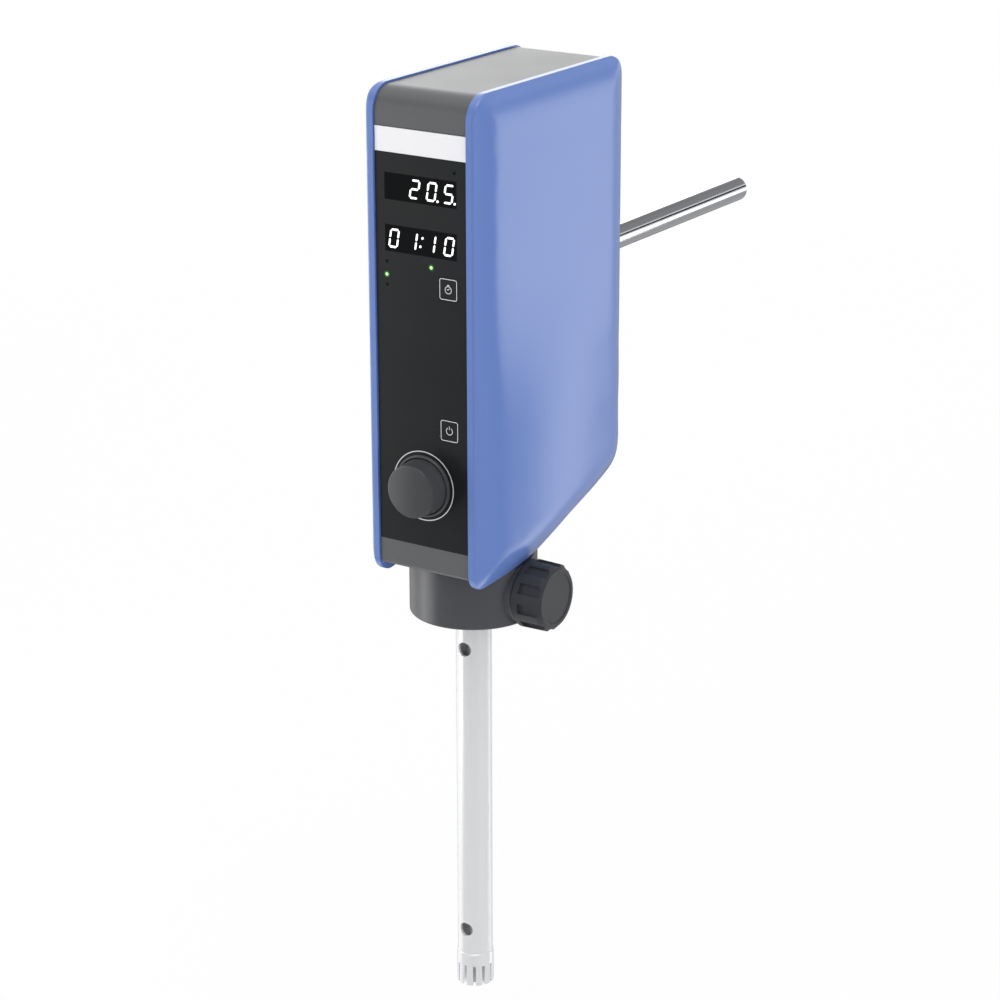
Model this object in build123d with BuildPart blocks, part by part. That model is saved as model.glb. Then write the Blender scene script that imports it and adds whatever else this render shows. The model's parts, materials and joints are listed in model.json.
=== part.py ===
"""Rotor-stator homogenizer: drive unit on its support arm, with the dispersing tool in the chuck.

Millimetres, +Z up, front panel towards -Y. The origin is on the axis of the support arm,
half way along its free length, where a stand's boss head grips it.
"""
import os
from math import atan2, degrees, sqrt

from build123d import *

os.makedirs("parts", exist_ok=True)

# ---- support arm and drive body --------------------------------------------------------
arm_diameter = 13.0
arm_free_length = 178.0
arm_neck_radius = 6.0
arm_neck_length = 4.0
arm_chamfer = 0.6
arm_height = 130.7            # arm axis above the front bottom edge of the body
body_height = 235.7
body_depth = 131.4
body_width = 51.0             # centre housing, between the two covers
housing_wall = 3.2
seat_gap = 0.02               # between two pieces that are fixed together

rear_y = -arm_free_length / 2
front_y = rear_y - body_depth
base_z = -arm_height
top_z = base_z + body_height
half_width = body_width / 2
inner_front_y = front_y + housing_wall
inner_rear_y = rear_y - housing_wall

# ---- outline of the body seen from the side --------------------------------------------
nose_drop = 6.4               # front bottom corner of the covers below the housing's edge
belly_run = 46.0              # front face to the start of the steeper belly
belly_rise = 0.6
knee_run = 79.0               # front face to the knee where the belly flattens again
knee_rise = 13.9
tail_rise = 25.0              # rear bottom corner above the front bottom edge
top_front_radius = 12.0
top_rear_radius = 10.0
tail_radius = 10.0
nose_radius = 9.5
belly_radius = 26.0

# ---- moulded side covers ---------------------------------------------------------------
cover_overhang = 0.9          # the covers stand this far outside the centre housing
cover_depth = 8.5             # seam to the flat of the side
crown_width = 16.0            # soft crown along the edges
crown_radius = 30.0
cover_edge_radius = 1.1
cover_floor = 2.9             # wall behind the flat of the side
cover_rim = 7.0
seam_width = 0.6
seam_inset = 1.5
belly_crown_width = 19.0
belly_crown_gain = 1.1        # the crown is this much steeper along the belly
ridge_height = 5.5            # barrel of the lower half over the motor
ridge_run = 0.5 * body_depth
ridge_half_run = ridge_run + cover_overhang
ridge_fade_low = 52.0
ridge_fade_high = 150.0
hook_reach = 5.0
hook_length = 9.0
hook_thickness = 1.6
hook_inset = housing_wall + hook_thickness / 2 + 0.3
hook_runs = [0.25 * body_depth, 0.76 * body_depth]
hook_rises = [0.17 * body_height, 0.75 * body_height]

cover_side_x = half_width + cover_depth
cover_front_y = front_y - cover_overhang
cover_rear_y = rear_y + cover_overhang
cover_top_z = top_z + cover_overhang

# ---- front panel -----------------------------------------------------------------------
panel_thickness = 1.5
panel_base = 13.9
panel_top = body_height - 17.9
panel_reveal = 0.5
header_height = 11.8
window_width = 40.4
window_height = 12.7
speed_window_z = base_z + panel_top - 27.9
timer_window_z = base_z + panel_top - 52.8
window_gap = 0.15
display_depth = 7.0
key_width = 10.1
key_height = 10.5
key_x = 15.3
timer_key_z = base_z + panel_top - 73.5
power_key_z = base_z + 74.9
key_travel = 0.5
key_gap = 0.3
led_diameter = 1.5
led_drops = [(-19.6, 64.3), (-19.6, 70.7), (-19.6, 75.8), (5.8, 64.2), (19.0, 17.6)]
led_places = [(x, panel_top - drop) for x, drop in led_drops]

# ---- rotary knob -----------------------------------------------------------------------
knob_z = base_z + 44.8
knob_base_radius = 13.9
knob_face_radius = 13.1
knob_height = 12.3
knob_dome = 0.9
knob_push = 0.8
bezel_radius = 15.5
bezel_height = 1.6
bezel_gap = 0.5
encoder_shaft_diameter = 6.0
encoder_width = 13.5

# ---- chuck collar and clamp ------------------------------------------------------------
tool_run = 42.9               # front face to the tool axis
collar_radius = 32.0
collar_drop = 31.8
collar_edge_radius = 0.9
cover_clearance = 0.4
spigot_radius = 24.0
motor_seat = 17.0             # motor plate above the front bottom edge
cavity_radius = 13.0
sleeve_radius = 12.0
sleeve_top = -3.0
clamp_z = base_z - 16.9
boss_radius = 15.9
boss_root = 22.0
boss_reach = 32.2
clamp_knob_radius = 17.2
clamp_knob_near = 33.0
clamp_knob_far = 49.4
clamp_chamfer = 2.3
clamp_lobes = 10
clamp_recess_width = 5.6
clamp_recess_depth = 1.7
spindle_diameter = 8.0
pad_diameter = 6.0
slide_gap = 0.05              # radial running clearance
end_gap = 0.15

tool_y = front_y + tool_run
collar_base_z = base_z - collar_drop
motor_seat_z = base_z + motor_seat
clamp_axis = Plane(origin=(0, tool_y, clamp_z), x_dir=(0, 1, 0), z_dir=(1, 0, 0))

# ---- motor -----------------------------------------------------------------------------
motor_radius = 26.0
motor_length = 76.0
motor_wall = 2.0
plate_thickness = 4.0
stack_length = 34.0
stack_bore_radius = 13.5
stator_slots = 9
air_gap = 0.5
magnet_thickness = 2.5
shaft_radius = 4.0
bearing_radius = 11.0
bearing_width = 7.0

# ---- dispersing tool -------------------------------------------------------------------
shank_radius = 9.0
tube_wall = 1.5
tube_length = 216.0
tube_top = -6.0
head_radius = 9.5
head_length = 18.0
head_bore_radius = 6.65
head_slots = 12
head_slot_width = 1.5
head_slot_height = 11.0
rotor_gap = 0.3
rotor_blades = 4
tool_shaft_radius = 3.0
vent_diameter = 7.5
upper_vent_z = base_z - 51.7
lower_vent_z = base_z - 208.2
tang_width = 5.0
coupling_gap = 0.3

tube_top_z = base_z + tube_top
tube_base_z = tube_top_z - tube_length
head_base_z = tube_base_z - head_length
rotor_radius = head_bore_radius - rotor_gap


def around_tool(z):
    """Plane across the tool axis at height z."""
    return Plane(origin=(0, tool_y, z))


def across(y):
    """Plane parallel to the front panel at depth y, facing the user; local axes are X and Z."""
    return Plane(origin=(0, y, 0), x_dir=(1, 0, 0), z_dir=(0, -1, 0))


def side_outline(plane, overhang, nose, inset=0):
    """Outline of the body from the side, grown by overhang, its front bottom corner at nose."""
    corners = [
        ((front_y - overhang, top_z + overhang), top_front_radius + overhang),
        ((rear_y + overhang, top_z + overhang), top_rear_radius + overhang),
        ((rear_y + overhang, base_z + tail_rise - overhang), tail_radius + overhang),
        ((front_y + knee_run, base_z + knee_rise - overhang), belly_radius),
        ((front_y + belly_run, base_z + belly_rise - overhang), belly_radius),
        ((front_y - overhang, base_z - nose), nose_radius if nose > 0 else housing_wall),
    ]
    with BuildSketch(plane) as outline:
        with BuildLine():
            Polyline(*[point for point, _ in corners], close=True)
        make_face()
        for point, radius in corners:
            fillet(outline.vertices().sort_by_distance(point)[0], radius)
        if inset:
            offset(amount=-inset, kind=Kind.INTERSECTION, mode=Mode.REPLACE)
    return outline.sketch


# ---- centre housing: one cast frame, open to both sides ---------------------------------
shelf_z = base_z + 148.0
shelf_thickness = 3.0
shelf_front_y = front_y + 14.0
arm_block_size = 28.0
block_screw_offset = 10.0
block_screw_radius = 2.0
rear_window_width = 30.0
rear_window_low = base_z + 41.0
rear_window_high = base_z + 103.0
rear_panel_width = 40.0
rear_panel_margin = 4.0
rear_panel_z = (rear_window_low + rear_window_high) / 2
rear_screw_radius = 1.25
rear_screw_x = (rear_window_width + rear_panel_width) / 4
rear_screws = [(x, rear_panel_z + z) for x in (-rear_screw_x, rear_screw_x) for z in (-24, 24)]
spigot_gap = 0.3

with BuildPart() as centre_housing:
    extrude(side_outline(Plane.YZ, 0, 0), amount=half_width, both=True)
    extrude(
        side_outline(Plane.YZ, 0, 0, inset=housing_wall),
        amount=half_width,
        both=True,
        mode=Mode.SUBTRACT,
    )
    # shelf that carries the power board and stiffens the arm's wall
    with BuildSketch(Plane.XY.offset(shelf_z)):
        with Locations((0, (shelf_front_y + inner_rear_y) / 2)):
            Rectangle(body_width, inner_rear_y - shelf_front_y + 2 * seat_gap)
    extrude(amount=shelf_thickness)
    # recess for the front panel, and the shadow line above it
    with BuildSketch(across(front_y)):
        with Locations((0, base_z + (panel_base + panel_top + panel_reveal) / 2)):
            Rectangle(body_width, panel_top + panel_reveal - panel_base)
    extrude(amount=-panel_thickness, mode=Mode.SUBTRACT)
    # openings for the displays, keys, lamps and encoder
    with BuildSketch(across(front_y)):
        for window_z in (speed_window_z, timer_window_z):
            with Locations((0, window_z)):
                Rectangle(window_width + 1, window_height + 1)
        for centre_z in (timer_key_z, power_key_z):
            with Locations((key_x, centre_z)):
                Rectangle(key_width - 3, key_height - 3)
        with Locations((0, knob_z)):
            Circle(encoder_shaft_diameter)
        for x, height in led_places:
            with Locations((x, base_z + height)):
                Circle(led_diameter / 2 + window_gap)
    extrude(amount=-housing_wall - 1, mode=Mode.SUBTRACT)
    # hole for the chuck's spigot, and the windows in the rear wall
    with BuildSketch(around_tool(base_z - 1)):
        Circle(spigot_radius + spigot_gap)
    extrude(amount=motor_seat, mode=Mode.SUBTRACT)
    with BuildSketch(across(rear_y)):
        with Locations((0, (rear_window_low + rear_window_high) / 2)):
            Rectangle(rear_window_width, rear_window_high - rear_window_low)
        Circle(arm_neck_radius + spigot_gap)
        with GridLocations(2 * block_screw_offset, 2 * block_screw_offset, 2, 2):
            Circle(block_screw_radius + spigot_gap)
        with Locations(*rear_screws):
            Circle(rear_screw_radius + spigot_gap)
    extrude(amount=housing_wall + 1, mode=Mode.SUBTRACT)
centre_housing.part.label = "centre_housing"
export_step(centre_housing.part, "parts/centre_housing.step")


# ---- side covers: crowned shells with a barrel over the motor ---------------------------
def soft_lowest(values, softness):
    """Smallest value, with the corners between them rounded."""
    lowest = values[0]
    for value in values[1:]:
        lowest = (lowest + value - sqrt((lowest - value) ** 2 + softness**2)) / 2
    return lowest


def belly_depth(y, z):
    """Distance inwards from the bottom of the cover: nose line, then belly line, then tail line."""
    corners = [
        (0, -nose_drop),
        (belly_run, belly_rise),
        (knee_run, knee_rise),
        (body_depth, tail_rise),
    ]
    depths = []
    for (run_a, rise_a), (run_b, rise_b) in zip(corners, corners[1:]):
        slope = (rise_b - rise_a) / (run_b - run_a)
        line_z = base_z + rise_a + slope * (y - front_y - run_a)
        depths.append((z - line_z) / sqrt(1 + slope**2) + cover_overhang)
    nose, belly, tail = depths
    return soft_lowest([nose, -soft_lowest([-belly, -tail], 4)], 4)


def crown_drop(y, z):
    """How far the side falls away near the edges of the cover, most of all along its belly."""
    depths = [y - cover_front_y, cover_rear_y - y, cover_top_z - z]
    reaches = [crown_width - depth for depth in depths]
    reaches.append(belly_crown_gain * (belly_crown_width - belly_depth(y, z)))
    reach = sum(max(0, reach) ** 4 for reach in reaches) ** 0.25
    inside = min(reach, crown_width + 2)
    return (inside**2 / 2 + (reach - inside) * inside) / crown_radius


def ridge(y, z):
    """Barrel over the motor: full in the lower half, faded out towards the top."""
    away = (y - front_y - ridge_run) / ridge_half_run
    fade = (ridge_fade_high - (z - base_z)) / (ridge_fade_high - ridge_fade_low)
    fade = min(1, max(0, fade))
    return ridge_height * (1 - away**2) * fade**2 * (3 - 2 * fade)


def stations(low, first, steps, last, high):
    """Places of the skin's sections: close together at both ends, evenly spaced between them."""
    return low + [first + (last - first) * i / steps for i in range(steps + 1)] + high


skin_rows = stations(
    [-20, -10, -2, 6, 14, 22, 30, 38],
    48,
    9,
    body_height - 30,
    [body_height - drop for drop in (20, 14, 8, 2, -6)],
)
skin_runs = stations(
    [-9, -4, 1, 6, 11, 16, 23],
    34,
    7,
    body_depth - 21,
    [body_depth - gap for gap in (15, 10, 5, 0, -6)],
)

seam_plane = Plane.YZ.offset(half_width)

with BuildPart() as right_cover:
    for row in skin_rows:
        row_z = base_z + row
        with BuildSketch(Plane.XY.offset(row_z)):
            with BuildLine():
                skin = Spline(
                    *[
                        (cover_side_x - crown_drop(y, row_z) + ridge(y, row_z), y)
                        for y in (front_y + run for run in skin_runs)
                    ]
                )
                Polyline(skin @ 0, (0, (skin @ 0).Y), (0, (skin @ 1).Y), skin @ 1)
            make_face()
    loft()
    extrude(
        side_outline(seam_plane, cover_overhang, nose_drop),
        amount=2 * cover_depth,
        mode=Mode.INTERSECT,
    )
    skin_face = right_cover.faces().sort_by(Axis.X)[-1]
    fillet(skin_face.edges(), cover_edge_radius)
    # pocket behind the side, and the shadow line along the seam
    extrude(
        side_outline(seam_plane, cover_overhang, nose_drop, inset=cover_rim),
        amount=cover_depth - cover_floor,
        mode=Mode.SUBTRACT,
    )
    seam_band = side_outline(seam_plane, cover_overhang + 1, nose_drop + 1)
    seam_core = side_outline(seam_plane, cover_overhang, nose_drop, inset=seam_inset)
    extrude(seam_band - seam_core, amount=seam_width, mode=Mode.SUBTRACT)
    # snap hooks that reach in behind the housing wall
    with BuildSketch(Plane.YZ.offset(half_width - hook_reach)):
        for run in hook_runs:
            with Locations((front_y + run, top_z - hook_inset)):
                Rectangle(hook_length, hook_thickness)
        for rise in hook_rises:
            with Locations((front_y + hook_inset, base_z + rise), (rear_y - hook_inset, base_z + rise)):
                Rectangle(hook_thickness, hook_length)
    extrude(amount=hook_reach + seam_width)
right_cover.part.label = "right_cover"
export_step(right_cover.part, "parts/right_cover.step")

with BuildPart() as left_cover:
    add(mirror(right_cover.part, about=Plane.YZ))
left_cover.part.label = "left_cover"
export_step(left_cover.part, "parts/left_cover.step")


# ---- front panel, header, windows, displays and lamps ------------------------------------
header_z = base_z + panel_top - header_height / 2

with BuildPart() as front_panel:
    panel_height = panel_top - header_height - panel_base - window_gap
    with BuildSketch(across(front_y)):
        with Locations((0, base_z + panel_base + panel_height / 2)):
            Rectangle(body_width, panel_height)
        with Locations((0, speed_window_z), (0, timer_window_z)):
            Rectangle(window_width + 2 * window_gap, window_height + 2 * window_gap, mode=Mode.SUBTRACT)
        with Locations((key_x, timer_key_z), (key_x, power_key_z)):
            RectangleRounded(
                key_width + 2 * key_gap, key_height + 2 * key_gap, 1 + key_gap, mode=Mode.SUBTRACT
            )
        with Locations(*[(x, base_z + height) for x, height in led_places]):
            Circle(led_diameter / 2 + window_gap, mode=Mode.SUBTRACT)
        with Locations((0, knob_z)):
            Circle(encoder_shaft_diameter / 2 + 1, mode=Mode.SUBTRACT)
    extrude(amount=-panel_thickness)
front_panel.part.label = "front_panel"
export_step(front_panel.part, "parts/front_panel.step")

with BuildPart() as header_strip:
    with BuildSketch(across(front_y)):
        with Locations((0, header_z)):
            Rectangle(body_width, header_height)
    extrude(amount=-panel_thickness)
header_strip.part.label = "header_strip"
export_step(header_strip.part, "parts/header_strip.step")

board_y = front_y + panel_thickness + display_depth + window_gap
board_thickness = 1.6
board_half_width = 22.5
board_low = base_z + 28.0
board_high = base_z + 206.0

for name, centre_z in (("speed", speed_window_z), ("timer", timer_window_z)):
    with BuildPart() as window:
        with BuildSketch(across(front_y)):
            with Locations((0, centre_z)):
                Rectangle(window_width, window_height)
        extrude(amount=-panel_thickness)
    window.part.label = f"{name}_window"
    export_step(window.part, f"parts/{name}_window.step")

    with BuildPart() as display:
        with BuildSketch(across(board_y)):
            with Locations((0, centre_z)):
                RectangleRounded(window_width - 0.4, window_height - 0.4, 0.8)
        extrude(amount=display_depth)
    display.part.label = f"{name}_display"
    export_step(display.part, f"parts/{name}_display.step")

with BuildPart() as indicator_lamps:
    with BuildSketch(across(board_y)):
        with Locations(*[(x, base_z + height) for x, height in led_places]):
            Circle(led_diameter / 2)
    extrude(amount=board_y - front_y)
indicator_lamps.part.label = "indicator_lamps"
export_step(indicator_lamps.part, "parts/indicator_lamps.step")

# ---- keys, their switches and the control board ------------------------------------------
key_cap_thickness = 0.9
key_stem = 6.0
switch_height = 1.2

for name, centre_z in (("timer", timer_key_z), ("power", power_key_z)):
    with BuildPart() as key:
        with BuildSketch(across(front_y)):
            with Locations((key_x, centre_z)):
                RectangleRounded(key_width, key_height, 1)
        extrude(amount=-key_cap_thickness)
        with BuildSketch(across(front_y + key_cap_thickness)):
            with Locations((key_x, centre_z)):
                Rectangle(key_stem, key_stem)
        extrude(amount=key_cap_thickness + key_travel + end_gap + switch_height + front_y - board_y)
    key.part.label = f"{name}_key"
    export_step(key.part, f"parts/{name}_key.step")

with BuildPart() as key_switches:
    with BuildSketch(across(board_y)):
        with Locations((key_x, timer_key_z), (key_x, power_key_z)):
            Rectangle(key_stem, key_stem)
    extrude(amount=switch_height)
key_switches.part.label = "key_switches"
export_step(key_switches.part, "parts/key_switches.step")

standoff_rises = (60.0, panel_top - 99.8)
standoff_places = [(x, base_z + rise) for x in (-19.0, 19.0) for rise in standoff_rises]

with BuildPart() as control_board:
    with BuildSketch(across(board_y)):
        with Locations((0, (board_low + board_high) / 2)):
            RectangleRounded(2 * board_half_width, board_high - board_low, 2)
        with Locations(*standoff_places):
            Circle(1.6, mode=Mode.SUBTRACT)
    extrude(amount=-board_thickness)
    chips_y = board_y + board_thickness
    with BuildSketch(across(chips_y)):
        for rise, width, height in ((60, 12, 12), (92, 9, 14), (130, 16, 8), (180, 10, 10)):
            with Locations((-6, base_z + rise)):
                Rectangle(width, height)
    extrude(amount=-1.8)
control_board.part.label = "control_board"
export_step(control_board.part, "parts/control_board.step")

# ---- rotary knob on its push encoder -----------------------------------------------------
knob_centre = Plane(origin=(0, front_y, knob_z), x_dir=(1, 0, 0), z_dir=(0, 0, 1))
knob_line = Axis((0, front_y, knob_z), (0, 1, 0))
knob_lift = knob_push + 0.3
encoder_bore = encoder_shaft_diameter / 2 + 1.6

with BuildPart() as knob_bezel:
    with BuildSketch(across(front_y)):
        with Locations((0, knob_z)):
            Circle(bezel_radius)
            Circle(knob_base_radius + bezel_gap, mode=Mode.SUBTRACT)
    extrude(amount=bezel_height)
    chamfer(knob_bezel.edges().group_by(Axis.Y)[0].sort_by(SortBy.RADIUS)[-1], 0.7)
knob_bezel.part.label = "knob_bezel"
export_step(knob_bezel.part, "parts/knob_bezel.step")

shaft_socket = 7.0
dome_radius = (knob_face_radius**2 + knob_dome**2) / (2 * knob_dome)
dome_angle = degrees(atan2(knob_face_radius, dome_radius - knob_dome))

with BuildPart() as speed_knob:
    with BuildSketch(knob_centre) as knob_profile:
        with BuildLine():
            Polyline(
                (0, -knob_lift - shaft_socket),
                (encoder_shaft_diameter / 2 + seat_gap, -knob_lift - shaft_socket),
                (encoder_shaft_diameter / 2 + seat_gap, -knob_lift),
                (6, -knob_lift),
                (6, -knob_lift - shaft_socket),
                (knob_base_radius - 1.8, -knob_lift - shaft_socket),
                (knob_base_radius - 1.8, -knob_lift),
                (knob_base_radius, -knob_lift),
                (knob_face_radius, -knob_height + knob_dome),
            )
            JernArc((0, -knob_height), (1, 0), dome_radius, dome_angle)
            Line((0, -knob_height), (0, -knob_lift - shaft_socket))
        make_face()
        rim = knob_profile.vertices().sort_by_distance((knob_face_radius, -knob_height + knob_dome))[0]
        fillet(rim, 0.8)
    revolve(axis=knob_line)
speed_knob.part.label = "speed_knob"
export_step(speed_knob.part, "parts/speed_knob.step")

with BuildPart() as encoder_shaft:
    with BuildSketch(across(board_y - knob_push - end_gap)):
        with Locations((0, knob_z)):
            Circle(encoder_shaft_diameter / 2)
    extrude(amount=board_y - knob_push - end_gap - front_y + knob_lift + shaft_socket - seat_gap)
encoder_shaft.part.label = "encoder_shaft"
export_step(encoder_shaft.part, "parts/encoder_shaft.step")

with BuildPart() as encoder_plunger:
    with BuildSketch(across(board_y - knob_push - end_gap)):
        with Locations((0, knob_z)):
            Circle(encoder_bore - slide_gap)
            Circle(encoder_shaft_diameter / 2 + slide_gap, mode=Mode.SUBTRACT)
    extrude(amount=2.5)
encoder_plunger.part.label = "encoder_plunger"
export_step(encoder_plunger.part, "parts/encoder_plunger.step")

with BuildPart() as encoder_body:
    with BuildSketch(across(board_y)):
        with Locations((0, knob_z)):
            Rectangle(encoder_width, encoder_width)
            Circle(encoder_bore, mode=Mode.SUBTRACT)
    extrude(amount=board_y - inner_front_y)
encoder_body.part.label = "encoder_body"
export_step(encoder_body.part, "parts/encoder_body.step")

# ---- chuck collar with its sleeve, seal and screws ---------------------------------------
collar_screw_circle = 19.5
collar_screw_radius = 2.0
screw_head_radius = 3.5
screw_head_height = 4.0
counterbore_depth = 9.0
bush_radius = 6.0
seal_base = 4.5
seal_height = 6.0

with BuildPart() as chuck_collar:
    with BuildSketch(around_tool(collar_base_z)):
        Circle(collar_radius)
    extrude(amount=collar_drop + motor_seat)
    fillet(chuck_collar.edges().group_by(Axis.Z)[0], collar_edge_radius)
    with BuildSketch(clamp_axis.offset(boss_root)):
        Circle(boss_radius)
    extrude(amount=boss_reach - boss_root)
    fillet(chuck_collar.edges().group_by(Axis.X)[-1], collar_edge_radius)
    # the neck follows the underside of the housing and of the covers
    extrude(side_outline(Plane.YZ, 0, 0), amount=half_width, both=True, mode=Mode.SUBTRACT)
    for side in (1, -1):
        cover_plane = Plane.YZ.offset(side * (half_width - seat_gap))
        lower_edge = side_outline(cover_plane, cover_overhang + cover_clearance, nose_drop + cover_clearance)
        extrude(lower_edge, amount=side * collar_radius, mode=Mode.SUBTRACT)
    # spigot through the housing floor, up to the motor
    with BuildSketch(around_tool(base_z - 1)):
        Circle(spigot_radius)
    extrude(amount=motor_seat + 1)
    with BuildSketch(around_tool(collar_base_z)):
        Circle(sleeve_radius + seat_gap)
    extrude(amount=collar_drop + sleeve_top, mode=Mode.SUBTRACT)
    with BuildSketch(around_tool(base_z + sleeve_top)):
        Circle(cavity_radius)
    extrude(amount=motor_seat - sleeve_top, mode=Mode.SUBTRACT)
    with BuildSketch(clamp_axis):
        Circle(bush_radius + seat_gap)
    extrude(amount=boss_reach, mode=Mode.SUBTRACT)
    with BuildSketch(around_tool(collar_base_z)):
        with PolarLocations(collar_screw_circle, 4, start_angle=45):
            Circle(collar_screw_radius + spigot_gap)
    extrude(amount=collar_drop + motor_seat, mode=Mode.SUBTRACT)
    with BuildSketch(around_tool(collar_base_z)):
        with PolarLocations(collar_screw_circle, 4, start_angle=45):
            Circle(screw_head_radius + spigot_gap)
    extrude(amount=counterbore_depth, mode=Mode.SUBTRACT)
chuck_collar.part.label = "chuck_collar"
export_step(chuck_collar.part, "parts/chuck_collar.step")

with BuildPart() as shank_sleeve:
    with BuildSketch(around_tool(collar_base_z + 0.4)):
        Circle(sleeve_radius)
        Circle(shank_radius + slide_gap, mode=Mode.SUBTRACT)
    extrude(amount=collar_drop + sleeve_top - 0.4)
    with BuildSketch(clamp_axis):
        Circle(pad_diameter / 2 + slide_gap)
    extrude(amount=sleeve_radius + 1, mode=Mode.SUBTRACT)
shank_sleeve.part.label = "shank_sleeve"
export_step(shank_sleeve.part, "parts/shank_sleeve.step")

coupling_radius = 8.0
with BuildPart() as shaft_seal:
    with BuildSketch(around_tool(base_z + seal_base)):
        Circle(cavity_radius - seat_gap)
        Circle(coupling_radius + coupling_gap, mode=Mode.SUBTRACT)
    extrude(amount=seal_height)
    with BuildSketch(around_tool(base_z + seal_base)):
        Circle(cavity_radius - 1.5)
        Circle(coupling_radius + 1.5, mode=Mode.SUBTRACT)
    extrude(amount=seal_height - 1.5, mode=Mode.SUBTRACT)
shaft_seal.part.label = "shaft_seal"
export_step(shaft_seal.part, "parts/shaft_seal.step")

with BuildPart() as collar_screws:
    with BuildSketch(around_tool(collar_base_z + counterbore_depth - screw_head_height)):
        with PolarLocations(collar_screw_circle, 4, start_angle=45):
            Circle(screw_head_radius)
            RegularPolygon(1.8, 6, mode=Mode.SUBTRACT)
    extrude(amount=screw_head_height)
    with BuildSketch(around_tool(collar_base_z + counterbore_depth - 1)):
        with PolarLocations(collar_screw_circle, 4, start_angle=45):
            Circle(collar_screw_radius)
    extrude(amount=collar_drop + motor_seat - counterbore_depth + 1 + plate_thickness)
collar_screws.part.label = "collar_screws"
export_step(collar_screws.part, "parts/collar_screws.step")

# ---- clamp: bush, pad, spindle and ribbed knob -------------------------------------------
pad_shoulder = 16.0
pad_head = 2.0
pad_tip = shank_radius + end_gap
spindle_near = pad_shoulder + end_gap + pad_head + slide_gap
spindle_far = clamp_knob_far - 4.0
spindle_radius = spindle_diameter / 2

with BuildPart() as clamp_bush:
    with BuildSketch(clamp_axis.offset(sleeve_radius + seat_gap)):
        Circle(bush_radius)
        Circle(pad_diameter / 2 + slide_gap, mode=Mode.SUBTRACT)
    extrude(amount=boss_reach - sleeve_radius - seat_gap)
    with BuildSketch(clamp_axis.offset(pad_shoulder)):
        Circle(spindle_radius + slide_gap)
    extrude(amount=boss_reach, mode=Mode.SUBTRACT)
clamp_bush.part.label = "clamp_bush"
export_step(clamp_bush.part, "parts/clamp_bush.step")

with BuildPart() as clamp_pad:
    with BuildSketch(clamp_axis.offset(pad_tip)):
        Circle(pad_diameter / 2)
    extrude(amount=pad_shoulder + end_gap - pad_tip)
    with BuildSketch(clamp_axis.offset(pad_shoulder + end_gap)):
        Circle(spindle_radius - slide_gap)
    extrude(amount=pad_head)
clamp_pad.part.label = "clamp_pad"
export_step(clamp_pad.part, "parts/clamp_pad.step")

with BuildPart() as clamp_spindle:
    with BuildSketch(clamp_axis.offset(spindle_near)):
        Circle(spindle_radius)
    extrude(amount=spindle_far - spindle_near)
    chamfer(clamp_spindle.edges().group_by(Axis.X)[0], 0.6)
clamp_spindle.part.label = "clamp_spindle"
export_step(clamp_spindle.part, "parts/clamp_spindle.step")

recess_near = clamp_knob_near + 3.4
face_dish = 0.5

with BuildPart() as clamp_knob:
    knob_section = Plane(origin=(0, tool_y, clamp_z), x_dir=(1, 0, 0), z_dir=(0, -1, 0))
    with BuildSketch(knob_section) as clamp_profile:
        with BuildLine():
            Polyline(
                (clamp_knob_near, 0),
                (clamp_knob_near, clamp_knob_radius),
                (clamp_knob_far - clamp_chamfer, clamp_knob_radius - 0.3),
                (clamp_knob_far, clamp_knob_radius - clamp_chamfer - 0.3),
                (clamp_knob_far, clamp_knob_radius - clamp_chamfer - 2.0),
                (clamp_knob_far - face_dish, clamp_knob_radius - clamp_chamfer - 2.6),
                (clamp_knob_far - face_dish, 0),
                close=True,
            )
        make_face()
        near_rim = clamp_profile.vertices().sort_by_distance((clamp_knob_near, clamp_knob_radius))[0]
        fillet(near_rim, 0.8)
    revolve(axis=Axis((0, tool_y, clamp_z), (1, 0, 0)))
    # grip recesses, closed towards the boss and open at the face
    with BuildSketch(clamp_axis.offset(recess_near)) as recesses:
        with PolarLocations(clamp_knob_radius, clamp_lobes, start_angle=9):
            RectangleRounded(2 * clamp_recess_depth, clamp_recess_width, 0.8)
    extrude(amount=clamp_knob_far, mode=Mode.SUBTRACT)
    with BuildSketch(clamp_axis.offset(clamp_knob_near)):
        Circle(spindle_radius + seat_gap)
    extrude(amount=spindle_far - clamp_knob_near + seat_gap, mode=Mode.SUBTRACT)
clamp_knob.part.label = "clamp_knob"
export_step(clamp_knob.part, "parts/clamp_knob.step")

# ---- motor: can, plates, stator and bearings ---------------------------------------------
motor_top_z = motor_seat_z + motor_length
can_base_z = motor_seat_z + plate_thickness
can_top_z = motor_top_z - plate_thickness
hub_radius = bearing_radius + 2.5
hub_height = bearing_width - plate_thickness + 2
stack_base_z = can_base_z + 15.0
winding_overhang = 5.0
slot_width = 7.0
slot_depth = 8.0
slot_circle = 18.5

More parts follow.
